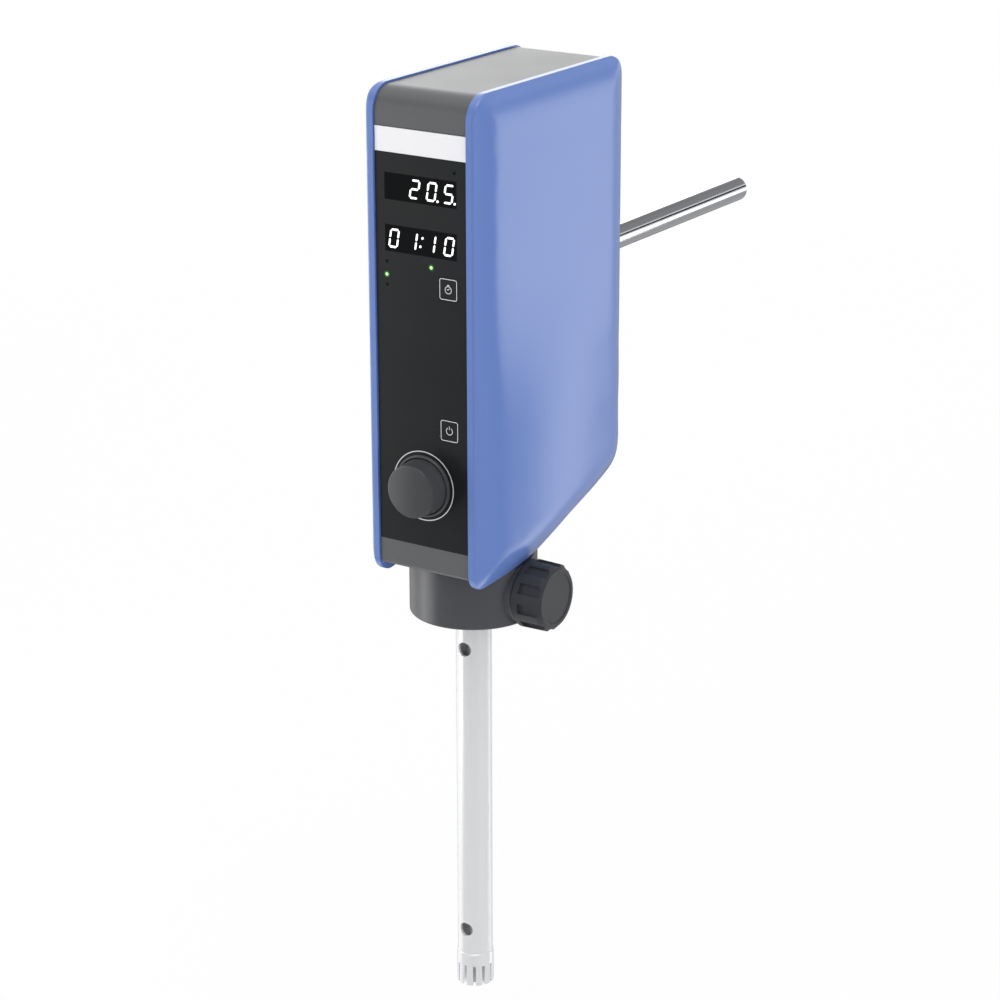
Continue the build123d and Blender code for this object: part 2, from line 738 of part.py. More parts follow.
for name, near_z, step in (("front", motor_seat_z, 1), ("rear", motor_top_z, -1)):
    with BuildPart() as motor_plate:
        with BuildSketch(around_tool(near_z)):
            Circle(motor_radius)
        extrude(amount=step * plate_thickness)
        with BuildSketch(around_tool(near_z + step * plate_thickness)):
            Circle(hub_radius)
        extrude(amount=step * hub_height)
        with BuildSketch(around_tool(near_z + step)):
            Circle(bearing_radius + seat_gap)
        extrude(amount=step * motor_length, mode=Mode.SUBTRACT)
        with BuildSketch(around_tool(near_z)):
            Circle(shaft_radius + 1)
            if step > 0:
                with PolarLocations(collar_screw_circle, 4, start_angle=45):
                    Circle(collar_screw_radius + seat_gap)
        extrude(amount=step * plate_thickness, mode=Mode.SUBTRACT)
    motor_plate.part.label = f"motor_{name}_plate"
    export_step(motor_plate.part, f"parts/motor_{name}_plate.step")

    with BuildPart() as bearing:
        with BuildSketch(around_tool(near_z + step * 1.0)):
            Circle(bearing_radius)
            Circle(shaft_radius + slide_gap, mode=Mode.SUBTRACT)
        extrude(amount=step * bearing_width)
        with BuildSketch(around_tool(near_z + step * (bearing_width + 0.4))):
            Circle(bearing_radius - 2)
            Circle(shaft_radius + 2, mode=Mode.SUBTRACT)
        extrude(amount=step, mode=Mode.SUBTRACT)
    bearing.part.label = f"{name}_bearing"
    export_step(bearing.part, f"parts/{name}_bearing.step")

with BuildPart() as motor_can:
    with BuildSketch(around_tool(can_base_z)):
        Circle(motor_radius)
        Circle(motor_radius - motor_wall, mode=Mode.SUBTRACT)
    extrude(amount=can_top_z - can_base_z)
motor_can.part.label = "motor_can"
export_step(motor_can.part, "parts/motor_can.step")

with BuildPart() as stator_stack:
    with BuildSketch(around_tool(stack_base_z)):
        Circle(motor_radius - motor_wall - seat_gap)
        Circle(stack_bore_radius, mode=Mode.SUBTRACT)
        with PolarLocations(slot_circle, stator_slots):
            Rectangle(slot_depth, slot_width, mode=Mode.SUBTRACT)
    extrude(amount=stack_length)
stator_stack.part.label = "stator_stack"
export_step(stator_stack.part, "parts/stator_stack.step")

with BuildPart() as stator_windings:
    with BuildSketch(around_tool(stack_base_z - winding_overhang)):
        with PolarLocations(slot_circle, stator_slots):
            RectangleRounded(slot_depth - 0.2, slot_width - 0.2, 1.5)
    extrude(amount=stack_length + 2 * winding_overhang)
stator_windings.part.label = "stator_windings"
export_step(stator_windings.part, "parts/stator_windings.step")

with BuildPart() as hall_board:
    with BuildSketch(around_tool(stack_base_z + stack_length + winding_overhang + seat_gap)):
        Circle(motor_radius - motor_wall - seat_gap)
        Circle(shaft_radius + 3, mode=Mode.SUBTRACT)
    extrude(amount=board_thickness)
hall_board.part.label = "hall_board"
export_step(hall_board.part, "parts/hall_board.step")

# ---- motor rotor and its coupling --------------------------------------------------------
core_radius = stack_bore_radius - air_gap - magnet_thickness
coupling_base_z = base_z - 5.0
coupling_length = 19.0
socket_depth = 8.0

with BuildPart() as motor_shaft:
    shaft_base_z = coupling_base_z + socket_depth + 2
    with BuildSketch(around_tool(shaft_base_z)):
        Circle(shaft_radius)
    extrude(amount=motor_top_z - 1.5 - shaft_base_z)
    chamfer(motor_shaft.edges().group_by(Axis.Z)[-1], 0.6)
motor_shaft.part.label = "motor_shaft"
export_step(motor_shaft.part, "parts/motor_shaft.step")

with BuildPart() as rotor_core:
    with BuildSketch(around_tool(stack_base_z)):
        Circle(core_radius)
        Circle(shaft_radius + seat_gap, mode=Mode.SUBTRACT)
    extrude(amount=stack_length)
rotor_core.part.label = "rotor_core"
export_step(rotor_core.part, "parts/rotor_core.step")

with BuildPart() as rotor_magnets:
    with BuildSketch(around_tool(stack_base_z)):
        Circle(core_radius + magnet_thickness)
        Circle(core_radius + seat_gap, mode=Mode.SUBTRACT)
        with PolarLocations(core_radius + magnet_thickness / 2, 6):
            Rectangle(2 * magnet_thickness, 1.2, mode=Mode.SUBTRACT)
    extrude(amount=stack_length)
rotor_magnets.part.label = "rotor_magnets"
export_step(rotor_magnets.part, "parts/rotor_magnets.step")

with BuildPart() as drive_coupling:
    with BuildSketch(around_tool(coupling_base_z)):
        Circle(coupling_radius)
    extrude(amount=coupling_length)
    with BuildSketch(around_tool(coupling_base_z)):
        Rectangle(2 * coupling_radius, tang_width + 2 * coupling_gap)
    extrude(amount=socket_depth, mode=Mode.SUBTRACT)
    with BuildSketch(around_tool(shaft_base_z - seat_gap)):
        Circle(shaft_radius + seat_gap)
    extrude(amount=coupling_length, mode=Mode.SUBTRACT)
drive_coupling.part.label = "drive_coupling"
export_step(drive_coupling.part, "parts/drive_coupling.step")

# ---- dispersing tool: the tube with its stator head --------------------------------------
tube_bore = shank_radius - tube_wall
head_top_z = tube_base_z
head_web = 4.0
head_spigot = 8.0
bush_wall = 2.0
tool_bush_radius = tool_shaft_radius + bush_wall

with BuildPart() as shaft_tube:
    with BuildSketch(around_tool(tube_base_z)):
        Circle(shank_radius)
        Circle(tube_bore, mode=Mode.SUBTRACT)
    extrude(amount=tube_length)
    chamfer(shaft_tube.edges().group_by(Axis.Z)[-1].sort_by(SortBy.RADIUS)[-1], 0.5)
    with BuildSketch(across(tool_y)):
        with Locations((0, upper_vent_z), (0, lower_vent_z)):
            Circle(vent_diameter / 2)
    extrude(amount=2 * shank_radius, both=True, mode=Mode.SUBTRACT)
shaft_tube.part.label = "shaft_tube"
export_step(shaft_tube.part, "parts/shaft_tube.step")

with BuildPart() as stator_head:
    with BuildSketch(around_tool(head_base_z)):
        Circle(head_radius)
    extrude(amount=head_length)
    chamfer(stator_head.edges().group_by(Axis.Z)[-1], 0.45)
    with BuildSketch(around_tool(head_top_z)):
        Circle(tube_bore - seat_gap)
    extrude(amount=head_spigot)
    with BuildSketch(around_tool(head_base_z)):
        Circle(head_bore_radius)
    extrude(amount=head_length - head_web, mode=Mode.SUBTRACT)
    with BuildSketch(around_tool(head_top_z - head_web)):
        Circle(tool_bush_radius + seat_gap)
    extrude(amount=head_web + head_spigot, mode=Mode.SUBTRACT)
    with BuildSketch(around_tool(head_base_z)):
        with PolarLocations((head_radius + head_bore_radius) / 2, head_slots):
            Rectangle(head_radius - head_bore_radius + 2, head_slot_width)
    extrude(amount=head_slot_height, mode=Mode.SUBTRACT)
stator_head.part.label = "stator_head"
export_step(stator_head.part, "parts/stator_head.step")

upper_bush_z = base_z - 26.0
upper_bush_length = 8.0
with BuildPart() as upper_tool_bush:
    with BuildSketch(around_tool(upper_bush_z)):
        Circle(tube_bore - seat_gap)
        Circle(tool_shaft_radius + slide_gap, mode=Mode.SUBTRACT)
    extrude(amount=upper_bush_length)
upper_tool_bush.part.label = "upper_tool_bush"
export_step(upper_tool_bush.part, "parts/upper_tool_bush.step")

with BuildPart() as lower_tool_bush:
    with BuildSketch(around_tool(head_top_z - head_web + seat_gap)):
        Circle(tool_bush_radius)
        Circle(tool_shaft_radius + slide_gap, mode=Mode.SUBTRACT)
    extrude(amount=head_web + head_spigot - seat_gap)
lower_tool_bush.part.label = "lower_tool_bush"
export_step(lower_tool_bush.part, "parts/lower_tool_bush.step")

# ---- dispersing tool: its rotor, shaft and coupling --------------------------------------
rotor_top_z = head_top_z - head_web - rotor_gap - 0.5
rotor_base_z = head_base_z + 0.4
rotor_floor = 3.5
blade_thickness = 2.1
coupling_body_z = base_z - 15.0
coupling_body_length = 8.0
tang_length = 9.0

with BuildPart() as rotor:
    with BuildSketch(around_tool(rotor_base_z)):
        Circle(rotor_radius)
    extrude(amount=rotor_top_z - rotor_base_z)
    with BuildSketch(around_tool(rotor_base_z)):
        Circle(rotor_radius - blade_thickness)
    extrude(amount=rotor_top_z - rotor_base_z - rotor_floor, mode=Mode.SUBTRACT)
    with BuildSketch(around_tool(rotor_base_z)):
        for index in range(rotor_blades // 2):
            with Locations(Rotation(0, 0, index * 360 / rotor_blades)):
                Rectangle(3 * rotor_radius, 3.2)
    extrude(amount=rotor_top_z - rotor_base_z - rotor_floor, mode=Mode.SUBTRACT)
    with BuildSketch(around_tool(rotor_top_z - rotor_floor + 0.5)):
        Circle(tool_shaft_radius + seat_gap)
    extrude(amount=rotor_floor, mode=Mode.SUBTRACT)
rotor.part.label = "rotor"
export_step(rotor.part, "parts/rotor.step")

with BuildPart() as tool_shaft:
    tool_shaft_base_z = rotor_top_z - rotor_floor + 0.5 + seat_gap
    with BuildSketch(around_tool(tool_shaft_base_z)):
        Circle(tool_shaft_radius)
    extrude(amount=coupling_body_z + coupling_body_length - 2 - tool_shaft_base_z)
tool_shaft.part.label = "tool_shaft"
export_step(tool_shaft.part, "parts/tool_shaft.step")

with BuildPart() as tool_coupling:
    with BuildSketch(around_tool(coupling_body_z)):
        Circle(tool_bush_radius)
    extrude(amount=coupling_body_length)
    with BuildSketch(around_tool(coupling_body_z + coupling_body_length)):
        Rectangle(2 * tool_bush_radius + 1, tang_width)
    extrude(amount=tang_length)
    chamfer(tool_coupling.edges().group_by(Axis.Z)[-1], 0.7)
    with BuildSketch(around_tool(coupling_body_z)):
        Circle(tool_shaft_radius + seat_gap)
    extrude(amount=coupling_body_length - 2 + seat_gap, mode=Mode.SUBTRACT)
tool_coupling.part.label = "tool_coupling"
export_step(tool_coupling.part, "parts/tool_coupling.step")

# ---- support arm, its block and screws ---------------------------------------------------
block_depth = 22.0
set_screw_radius = 2.5

with BuildPart() as support_arm:
    with BuildSketch(across(arm_free_length / 2)):
        Circle(arm_diameter / 2)
    extrude(amount=arm_free_length - arm_neck_length)
    with BuildSketch(across(rear_y + arm_neck_length)):
        Circle(arm_neck_radius)
    extrude(amount=arm_neck_length + housing_wall + block_depth)
    chamfer(support_arm.edges().group_by(Axis.Y)[-1], arm_chamfer)
support_arm.part.label = "support_arm"
export_step(support_arm.part, "parts/support_arm.step")

with BuildPart() as arm_block:
    with BuildSketch(across(inner_rear_y)):
        RectangleRounded(arm_block_size, arm_block_size, 2)
        Circle(arm_neck_radius + seat_gap, mode=Mode.SUBTRACT)
        with GridLocations(2 * block_screw_offset, 2 * block_screw_offset, 2, 2):
            Circle(block_screw_radius + seat_gap, mode=Mode.SUBTRACT)
    extrude(amount=block_depth)
    with BuildSketch(Plane.XY.offset(arm_block_size / 2)):
        with Locations((0, inner_rear_y - block_depth / 2)):
            Circle(set_screw_radius + seat_gap)
    extrude(amount=-arm_block_size / 2, mode=Mode.SUBTRACT)
arm_block.part.label = "arm_block"
export_step(arm_block.part, "parts/arm_block.step")

with BuildPart() as arm_set_screw:
    with BuildSketch(Plane.XY.offset(arm_neck_radius + seat_gap)):
        with Locations((0, inner_rear_y - block_depth / 2)):
            Circle(set_screw_radius)
    extrude(amount=arm_block_size / 2 - arm_neck_radius - 1)
    with BuildSketch(Plane.XY.offset(arm_block_size / 2 - 1)):
        with Locations((0, inner_rear_y - block_depth / 2)):
            RegularPolygon(1.4, 6)
    extrude(amount=-3, mode=Mode.SUBTRACT)
arm_set_screw.part.label = "arm_set_screw"
export_step(arm_set_screw.part, "parts/arm_set_screw.step")

with BuildPart() as arm_block_screws:
    with BuildSketch(across(rear_y + 2.4)):
        with GridLocations(2 * block_screw_offset, 2 * block_screw_offset, 2, 2):
            Circle(screw_head_radius)
            RegularPolygon(1.6, 6, mode=Mode.SUBTRACT)
    extrude(amount=2.4)
    with BuildSketch(across(rear_y + 0.6)):
        with GridLocations(2 * block_screw_offset, 2 * block_screw_offset, 2, 2):
            Circle(block_screw_radius)
    extrude(amount=0.6 + housing_wall + 12)
arm_block_screws.part.label = "arm_block_screws"
export_step(arm_block_screws.part, "parts/arm_block_screws.step")

# ---- rear panel with the power inlet and the data port -----------------------------------
rear_panel_thickness = 1.8
inlet_width = 27.0
inlet_height = 19.8
inlet_flange = 1.8
inlet_depth = 24.0
inlet_z = rear_window_low + 17
port_width = 9.0
port_height = 3.3
port_depth = 7.5
port_z = rear_window_high - 14

with BuildPart() as rear_panel:
    with BuildSketch(across(inner_rear_y)):
        with Locations((0, rear_panel_z)):
            Rectangle(rear_panel_width, rear_window_high - rear_window_low + 2 * rear_panel_margin)
        with Locations((0, inlet_z)):
            Rectangle(inlet_width + 2 * seat_gap, inlet_height + 2 * seat_gap, mode=Mode.SUBTRACT)
        with Locations((0, port_z)):
            Rectangle(port_width + 2 * seat_gap, port_height + 2 * seat_gap, mode=Mode.SUBTRACT)
        with Locations(*rear_screws):
            Circle(rear_screw_radius + seat_gap, mode=Mode.SUBTRACT)
    extrude(amount=rear_panel_thickness)
rear_panel.part.label = "rear_panel"
export_step(rear_panel.part, "parts/rear_panel.step")

with BuildPart() as rear_panel_screws:
    with BuildSketch(across(rear_y + 1.8)):
        with Locations(*rear_screws):
            Circle(2 * rear_screw_radius)
            RegularPolygon(0.9 * rear_screw_radius, 6, mode=Mode.SUBTRACT)
    extrude(amount=1.8)
    with BuildSketch(across(rear_y + 0.5)):
        with Locations(*rear_screws):
            Circle(rear_screw_radius)
    extrude(amount=0.5 + housing_wall + rear_panel_thickness + 2)
rear_panel_screws.part.label = "rear_panel_screws"
export_step(rear_panel_screws.part, "parts/rear_panel_screws.step")

with BuildPart() as power_inlet:
    with BuildSketch(across(inner_rear_y + inlet_flange)):
        with Locations((0, inlet_z)):
            RectangleRounded(inlet_width + 2, inlet_height + 2, 1)
    extrude(amount=inlet_flange)
    with BuildSketch(across(inner_rear_y)):
        with Locations((0, inlet_z)):
            Rectangle(inlet_width, inlet_height)
    extrude(amount=inlet_depth)
    with BuildSketch(across(inner_rear_y + inlet_flange)) as inlet_mouth:
        with Locations((0, inlet_z)):
            Rectangle(inlet_width - 3, inlet_height - 3.4)
        chamfer(inlet_mouth.vertices().group_by(Axis.Y)[-1], 4)
    extrude(amount=inlet_flange + 15, mode=Mode.SUBTRACT)
power_inlet.part.label = "power_inlet"
export_step(power_inlet.part, "parts/power_inlet.step")

with BuildPart() as inlet_pins:
    with BuildSketch(across(inner_rear_y - 3)):
        with Locations((-7, inlet_z - 1.5), (7, inlet_z - 1.5), (0, inlet_z + 2.5)):
            Rectangle(2, 4)
    extrude(amount=12)
inlet_pins.part.label = "inlet_pins"
export_step(inlet_pins.part, "parts/inlet_pins.step")

with BuildPart() as data_port:
    with BuildSketch(across(inner_rear_y + 0.6)):
        with Locations((0, port_z)):
            RectangleRounded(port_width, port_height, 1.6)
    extrude(amount=port_depth)
    with BuildSketch(across(inner_rear_y + 0.6)):
        with Locations((0, port_z)):
            RectangleRounded(port_width - 0.7, port_height - 0.7, 1.25)
            Rectangle(6.7, 0.7, mode=Mode.SUBTRACT)
    extrude(amount=port_depth - 1, mode=Mode.SUBTRACT)
data_port.part.label = "data_port"
export_step(data_port.part, "parts/data_port.step")

# ---- power board on the shelf ------------------------------------------------------------
power_board_length = 84.0
power_board_width = 42.0
power_board_y = (inner_front_y + inner_rear_y) / 2 + 6
shelf_top_z = shelf_z + shelf_thickness
spacer_height = 6.0
spacer_radius = 2.9
screw_shank_radius = 1.25
screw_cap_radius = 2.6
screw_cap_height = 1.8
screw_bite = 3.0
power_board_z = shelf_top_z + spacer_height
spacers = GridLocations(power_board_width - 8, power_board_length - 8, 2, 2).local_locations
spacer_places = [(spot.position.X, power_board_y + spot.position.Y) for spot in spacers]

with BuildPart() as power_board:
    with BuildSketch(Plane.XY.offset(power_board_z)):
        with Locations((0, power_board_y)):
            Rectangle(power_board_width, power_board_length)
        with Locations(*spacer_places):
            Circle(1.6, mode=Mode.SUBTRACT)
    extrude(amount=board_thickness)
power_board.part.label = "power_board"
export_step(power_board.part, "parts/power_board.step")

with BuildPart() as board_spacers:
    with BuildSketch(across(inner_front_y)):
        with Locations(*standoff_places):
            RegularPolygon(spacer_radius, 6)
            Circle(screw_shank_radius + seat_gap, mode=Mode.SUBTRACT)
    extrude(amount=inner_front_y - board_y)
    with BuildSketch(Plane.XY.offset(shelf_top_z)):
        with Locations(*spacer_places):
            RegularPolygon(spacer_radius, 6)
            Circle(screw_shank_radius + seat_gap, mode=Mode.SUBTRACT)
    extrude(amount=spacer_height)
board_spacers.part.label = "board_spacers"
export_step(board_spacers.part, "parts/board_spacers.step")

with BuildPart() as board_screws:
    for seat, inward, places in (
        (across(board_y + board_thickness), 1, standoff_places),
        (Plane.XY.offset(power_board_z + board_thickness), -1, spacer_places),
    ):
        with BuildSketch(seat):
            with Locations(*places):
                Circle(screw_cap_radius)
        extrude(amount=-inward * screw_cap_height)
        with BuildSketch(seat):
            with Locations(*places):
                Circle(screw_shank_radius)
        extrude(amount=inward * (board_thickness + screw_bite))
board_screws.part.label = "board_screws"
export_step(board_screws.part, "parts/board_screws.step")

with BuildPart() as capacitors:
    with BuildSketch(Plane.XY.offset(power_board_z + board_thickness)):
        with Locations((-8.5, power_board_y - 28), (8.5, power_board_y - 28)):
            Circle(7.5)
    extrude(amount=30)
    chamfer(capacitors.edges().group_by(Axis.Z)[-1], 0.8)
capacitors.part.label = "capacitors"
export_step(capacitors.part, "parts/capacitors.step")

with BuildPart() as heat_sink:
    with BuildSketch(Plane.XY.offset(power_board_z + board_thickness)):
        with Locations((0, power_board_y + 12)):
            Rectangle(26, 36)
    extrude(amount=4)
    with BuildSketch(Plane.XY.offset(power_board_z + board_thickness + 4)):
        with Locations((0, power_board_y + 12)):
            with GridLocations(4.6, 0, 6, 1):
                Rectangle(1.6, 36)
    extrude(amount=18)
heat_sink.part.label = "heat_sink"
export_step(heat_sink.part, "parts/heat_sink.step")
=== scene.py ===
import json
from math import cos, pi, radians, sin, tan

import bmesh
import bpy
from mathutils import Matrix, Vector


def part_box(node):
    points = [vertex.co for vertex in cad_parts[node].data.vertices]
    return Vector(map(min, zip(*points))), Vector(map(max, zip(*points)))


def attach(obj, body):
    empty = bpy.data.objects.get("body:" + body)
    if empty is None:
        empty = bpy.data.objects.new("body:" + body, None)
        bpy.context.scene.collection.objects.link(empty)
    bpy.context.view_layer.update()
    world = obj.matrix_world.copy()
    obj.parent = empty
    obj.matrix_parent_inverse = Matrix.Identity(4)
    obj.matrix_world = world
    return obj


# Benchtop rotor-stator homogenizer: blue side covers, black panel, chuck collar and tool.
# Metres, +Z up, front panel towards -Y, support arm along +Y.
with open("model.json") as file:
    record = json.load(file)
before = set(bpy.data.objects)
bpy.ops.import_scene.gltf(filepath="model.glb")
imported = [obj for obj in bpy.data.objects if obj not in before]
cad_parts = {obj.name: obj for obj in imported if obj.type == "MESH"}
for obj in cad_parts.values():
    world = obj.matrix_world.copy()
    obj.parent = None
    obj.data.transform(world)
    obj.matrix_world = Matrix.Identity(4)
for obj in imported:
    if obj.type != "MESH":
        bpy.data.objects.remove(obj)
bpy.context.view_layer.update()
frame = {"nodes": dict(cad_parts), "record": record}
nodes = frame["nodes"]
scene = bpy.context.scene
mm = 0.001
print("frame loaded:", len(nodes), "nodes")


def centreOf(node):
    low, high = (Vector(corner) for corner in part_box(node))
    return (low + high) / 2


def newGroup(name, inputs, outputs):
    group = bpy.data.node_groups.new(name, "ShaderNodeTree")
    for label, kind, value in inputs:
        socket = group.interface.new_socket(label, in_out="INPUT", socket_type=kind)
        socket.default_value = value
    for label, kind in outputs:
        group.interface.new_socket(label, in_out="OUTPUT", socket_type=kind)
    return group, group.nodes.new("NodeGroupInput"), group.nodes.new("NodeGroupOutput")


def mathNode(tree, operation, *values):
    node = tree.nodes.new("ShaderNodeMath")
    node.operation = operation
    for socket, value in zip(node.inputs, values):
        if isinstance(value, (int, float)):
            socket.default_value = value
        else:
            tree.links.new(value, socket)
    return node.outputs[0]


def noiseNode(tree, vector, scale, detail):
    noise = tree.nodes.new("ShaderNodeTexNoise")
    noise.inputs["Scale"].default_value = scale
    noise.inputs["Detail"].default_value = detail
    tree.links.new(vector, noise.inputs["Vector"])
    return noise.outputs["Fac"]


grainSettings = {
    "fineShare": 0.25, "lowMark": 0.3, "highMark": 0.7, "patchScale": 14.0,
    "grainDetail": 3.0, "patchDetail": 2.0,
}


def makeSurfaceGrain():
    # fine moulded, cast or brushed texture: a stretched noise drives height and gloss
    tree, start, end = newGroup(
        "surfaceGrain",
        [("Stretch", "NodeSocketVector", (1000, 1000, 1000)),
         ("Height", "NodeSocketFloat", 0.00001),
         ("Rough Low", "NodeSocketFloat", 0.3), ("Rough High", "NodeSocketFloat", 0.5)],
        [("Roughness", "NodeSocketFloat"), ("Normal", "NodeSocketVector")])
    place = tree.nodes.new("ShaderNodeTexCoord").outputs["Object"]
    stretched = tree.nodes.new("ShaderNodeVectorMath")
    stretched.operation = "MULTIPLY"
    tree.links.new(place, stretched.inputs[0])
    tree.links.new(start.outputs["Stretch"], stretched.inputs[1])
    grain = noiseNode(tree, stretched.outputs[0], 1.0, grainSettings["grainDetail"])
    patches = noiseNode(tree, place, grainSettings["patchScale"], grainSettings["patchDetail"])
    share = grainSettings["fineShare"]
    blend = mathNode(tree, "ADD", mathNode(tree, "MULTIPLY", grain, share),
                     mathNode(tree, "MULTIPLY", patches, 1 - share))
    gloss = tree.nodes.new("ShaderNodeMapRange")
    gloss.inputs["From Min"].default_value = grainSettings["lowMark"]
    gloss.inputs["From Max"].default_value = grainSettings["highMark"]
    tree.links.new(blend, gloss.inputs["Value"])
    tree.links.new(start.outputs["Rough Low"], gloss.inputs["To Min"])
    tree.links.new(start.outputs["Rough High"], gloss.inputs["To Max"])
    bump = tree.nodes.new("ShaderNodeBump")
    tree.links.new(start.outputs["Height"], bump.inputs["Distance"])
    tree.links.new(grain, bump.inputs["Height"])
    tree.links.new(gloss.outputs["Result"], end.inputs["Roughness"])
    tree.links.new(bump.outputs["Normal"], end.inputs["Normal"])
    return tree


driftSettings = {"slowScale": 9.0, "fineScale": 1400.0, "detail": 2.0}


def makeColourDrift():
    # slow drift of colour over a large face, and a fine fleck inside the grain
    tree, start, end = newGroup(
        "colourDrift",
        [("Color", "NodeSocketColor", (0.5, 0.5, 0.5, 1)), ("Drift", "NodeSocketFloat", 0.04),
         ("Fleck", "NodeSocketFloat", 0.02)],
        [("Color", "NodeSocketColor")])
    place = tree.nodes.new("ShaderNodeTexCoord").outputs["Object"]
    value = 1.0
    for key, amount in (("slowScale", "Drift"), ("fineScale", "Fleck")):
        noise = noiseNode(tree, place, driftSettings[key], driftSettings["detail"])
        swing = mathNode(tree, "SUBTRACT", noise, 0.5)
        share = mathNode(tree, "MULTIPLY", swing, start.outputs[amount])
        value = mathNode(tree, "ADD", share, value)
    tint = tree.nodes.new("ShaderNodeHueSaturation")
    tree.links.new(value, tint.inputs["Value"])
    tree.links.new(start.outputs["Color"], tint.inputs["Color"])
    tree.links.new(tint.outputs["Color"], end.inputs["Color"])
    return tree


surfaceGrain = makeSurfaceGrain()
colourDrift = makeColourDrift()
print("shader groups built")


def linear(r, g, b):
    # screen colour 0-255 to the shader's linear colour
    parts = [c / 255 for c in (r, g, b)]
    return [c / 12.92 if c <= 0.04045 else ((c + 0.055) / 1.055) ** 2.4 for c in parts] + [1.0]


def makeMaterial(name, colour, rough, stretch=(1600, 1600, 1600), height=0.000004, metallic=0.0,
                 specular=0.5, coat=0.0, coatRough=0.1, drift=0.05, fleck=0.03):
    material = bpy.data.materials.new(name)
    material.use_nodes = True
    tree = material.node_tree
    shader = tree.nodes["Principled BSDF"]
    shader.inputs["Metallic"].default_value = metallic
    shader.inputs["Specular IOR Level"].default_value = specular
    shader.inputs["Coat Weight"].default_value = coat
    shader.inputs["Coat Roughness"].default_value = coatRough
    grain = tree.nodes.new("ShaderNodeGroup")
    grain.node_tree = surfaceGrain
    grain.inputs["Stretch"].default_value = stretch
    grain.inputs["Height"].default_value = height
    grain.inputs["Rough Low"].default_value = rough[0]
    grain.inputs["Rough High"].default_value = rough[1]
    tree.links.new(grain.outputs["Roughness"], shader.inputs["Roughness"])
    tree.links.new(grain.outputs["Normal"], shader.inputs["Normal"])
    tint = tree.nodes.new("ShaderNodeGroup")
    tint.node_tree = colourDrift
    tint.inputs["Color"].default_value = linear(*colour)
    tint.inputs["Drift"].default_value = drift
    tint.inputs["Fleck"].default_value = fleck
    tree.links.new(tint.outputs["Color"], shader.inputs["Base Color"])
    return material


# one finish for each slot of the record
materials = {
    "housing_grey": makeMaterial("satinGreyCasting", (96, 97, 99), (0.34, 0.42), height=0.000008),
    "cover_blue": makeMaterial("satinBlueMoulding", (103, 132, 200), (0.29, 0.31),
                               height=0.0000006, specular=0.65, coat=0.3, coatRough=0.24,
                               drift=0.02, fleck=0.01),
    "panel_black": makeMaterial("printedBlackFoil", (31, 32, 34), (0.3, 0.38), specular=0.3,
                                stretch=(2600, 2600, 2600), height=0.000002),
    "header_white": makeMaterial("printedWhiteFoil", (247, 247, 250), (0.35, 0.45), drift=0.01),
    "window_smoke": makeMaterial("smokedLens", (22, 23, 24), (0.08, 0.12), height=0.0,
                                 specular=0.4, drift=0.1),
    "display_black": makeMaterial("mouldedBlack", (24, 24, 25), (0.45, 0.6), height=0.00001),
    "lamp_green": makeMaterial("clearLightPipe", (10, 11, 10), (0.2, 0.3), height=0.0),
    "board_green": makeMaterial("solderMask", (18, 82, 48), (0.3, 0.4), coat=0.2),
    "brass": makeMaterial("turnedBrass", (196, 160, 96), (0.25, 0.36), metallic=1.0,
                          stretch=(3000, 200, 200), height=0.000004),
    "screw_steel": makeMaterial("zincPlatedSteel", (168, 170, 176), (0.28, 0.4), metallic=1.0),
    "knob_grey": makeMaterial("finePlasticGrey", (70, 71, 74), (0.38, 0.46), height=0.000008),
    "bright_steel": makeMaterial("groundSteel", (188, 189, 193), (0.18, 0.28), metallic=1.0,
                                 stretch=(200, 200, 4000), height=0.000002),
    "collar_grey": makeMaterial("satinAnthraciteCasting", (82, 83, 87), (0.3, 0.38),
                                height=0.000006),
    "seal_rubber": makeMaterial("mouldedRubber", (28, 28, 29), (0.55, 0.7), height=0.00001),
    "clamp_black": makeMaterial("texturedBlackPlastic", (60, 61, 65), (0.38, 0.48), height=0.00001,
                                specular=0.3),
    "motor_aluminium": makeMaterial("machinedAluminium", (192, 194, 198), (0.3, 0.42),
                                    metallic=1.0, stretch=(300, 300, 3500), height=0.000004),
    "lamination_steel": makeMaterial("stampedLaminations", (110, 110, 114), (0.4, 0.55),
                                     metallic=1.0, stretch=(200, 200, 6000), height=0.00002),
    "copper_wire": makeMaterial("enamelledCopper", (170, 96, 52), (0.3, 0.42), metallic=0.8,
                                stretch=(300, 300, 3000), height=0.00003),
    "magnet_grey": makeMaterial("sinteredMagnet", (120, 121, 126), (0.4, 0.5), metallic=0.9),
    # kept much paler and less metallic than real stainless steel
    "tool_steel": makeMaterial("polishedStainless", (244, 245, 247), (0.25, 0.25), metallic=0.2,
                               stretch=(120, 120, 120), height=0.0, drift=0.0, fleck=0.0),
    "ptfe_white": makeMaterial("ptfe", (226, 226, 223), (0.4, 0.5)),
    "arm_chrome": makeMaterial("polishedBar", (196, 197, 202), (0.07, 0.12), metallic=1.0,
                               stretch=(2500, 60, 2500), height=0.0000006, drift=0.02),
}
for subpart in frame["record"]["subparts"]:
    slots = nodes[subpart["node"]].data.materials
    slots.clear()
    slots.append(materials[subpart["material_slot"]])


def glowing(name, colour, strength):
    # lit segments and lamps: an emitter with the gloss of its clear face
    material = makeMaterial(name, colour, (0.3, 0.4), height=0.0)
    shader = material.node_tree.nodes["Principled BSDF"]
    shader.inputs["Emission Color"].default_value = linear(*colour)
    shader.inputs["Emission Strength"].default_value = strength
    return material


